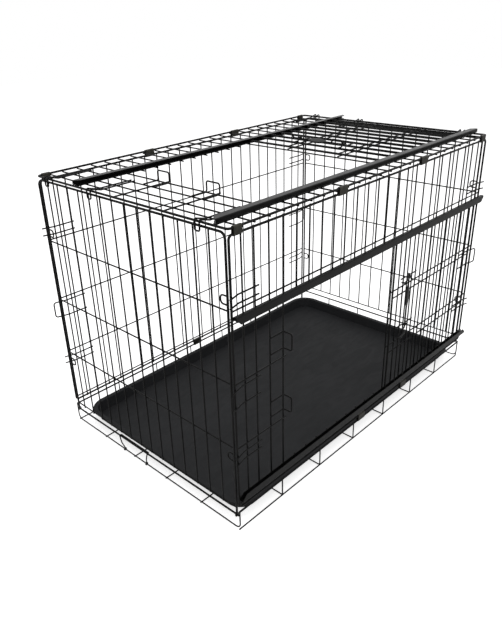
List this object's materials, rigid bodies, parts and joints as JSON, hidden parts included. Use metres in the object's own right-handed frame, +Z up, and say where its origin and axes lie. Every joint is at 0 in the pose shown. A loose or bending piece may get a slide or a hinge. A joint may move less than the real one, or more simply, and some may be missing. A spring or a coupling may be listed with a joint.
{
  "type": "folding wire pet crate",
  "caption": "Rectangular folding wire pet crate with sliding side and top doors, hook latches, folding ends and a shallow pull-out tray.",
  "frame": {"origin": "on the floor, under the centre of the crate", "axes": "+X along the crate, the tray end is at -X; the side door is on the -Y side; +Z up"},
  "size_m": [0.9416, 0.6206, 0.6719],
  "materials": {
    "coated_wire": "satin black coated steel wire",
    "coated_sheet": "satin black coated steel sheet",
    "clip_sheet": "satin dark coated steel strip",
    "grip_plastic": "moulded black plastic",
    "tray_plastic": "matte black plastic, lightly grained"
  },
  "bodies": {
    "crate": {"base_grid": "coated_wire", "back_panel": "coated_wire", "front_panel": "coated_wire", "top_panel": "coated_wire", "side_channel_middle": "coated_sheet", "side_channel_bottom": "coated_sheet", "top_channel_front": "coated_sheet", "top_channel_back": "coated_sheet", "side_keepers": "coated_wire", "top_keepers": "coated_wire", "front_top_clips": "clip_sheet", "back_top_clips": "clip_sheet", "front_base_clips": "clip_sheet", "back_base_clips": "clip_sheet", "front_corner_hooks": "coated_wire", "back_corner_hooks": "coated_wire", "left_top_hooks": "coated_wire", "right_top_hooks": "coated_wire"},
    "left_end": {"left_end_panel": "coated_wire", "left_end_eyes": "coated_wire", "left_end_loops": "coated_wire"},
    "right_end": {"right_end_panel": "coated_wire", "right_end_eyes": "coated_wire", "right_end_loops": "coated_wire"},
    "side_door_body": {"side_door": "coated_wire", "side_latch_guides": "coated_wire"},
    "side_latch_body": {"side_latch": "coated_wire", "side_latch_grip": "grip_plastic"},
    "top_door_body": {"top_door": "coated_wire", "top_latch_guides": "coated_wire"},
    "top_latch_body": {"top_latch": "coated_wire", "top_latch_grip": "grip_plastic"},
    "tray_body": {"tray": "tray_plastic"},
    "tray_stop_body": {"tray_stop": "coated_wire"}
  },
  "joints": [
    {"name": "side_door_slide", "type": "slide", "parent": "crate", "child": "side_door_body", "axis": [1, 0, 0], "range_m": [-0.372, 0]},
    {"name": "top_door_slide", "type": "slide", "parent": "crate", "child": "top_door_body", "axis": [1, 0, 0], "range_m": [-0.372, 0]},
    {"name": "side_latch_turn", "type": "hinge", "parent": "side_door_body", "child": "side_latch_body", "pos_m": [0.1048, -0.3025, 0.3115], "axis": [0, 0, 1], "range_deg": [-14, 20]},
    {"name": "top_latch_turn", "type": "hinge", "parent": "top_door_body", "child": "top_latch_body", "pos_m": [0.1048, -0.044, 0.649], "axis": [0, 1, 0], "range_deg": [-14, 20]},
    {"name": "left_end_fold", "type": "hinge", "parent": "crate", "child": "left_end", "pos_m": [-0.4572, 0, 0.037], "axis": [0, 1, 0], "range_deg": [0, 90]},
    {"name": "right_end_fold", "type": "hinge", "parent": "crate", "child": "right_end", "pos_m": [0.4587, 0, 0.048], "axis": [0, -1, 0], "range_deg": [0, 90]},
    {"name": "tray_slide", "type": "slide", "parent": "crate", "child": "tray_body", "axis": [1, 0, 0], "range_m": [-0.015, 0]},
    {"name": "tray_stop_turn", "type": "hinge", "parent": "crate", "child": "tray_stop_body", "pos_m": [-0.4572, 0.0525, 0.0042], "axis": [0, -1, 0], "range_deg": [0, 85]}
  ]
}
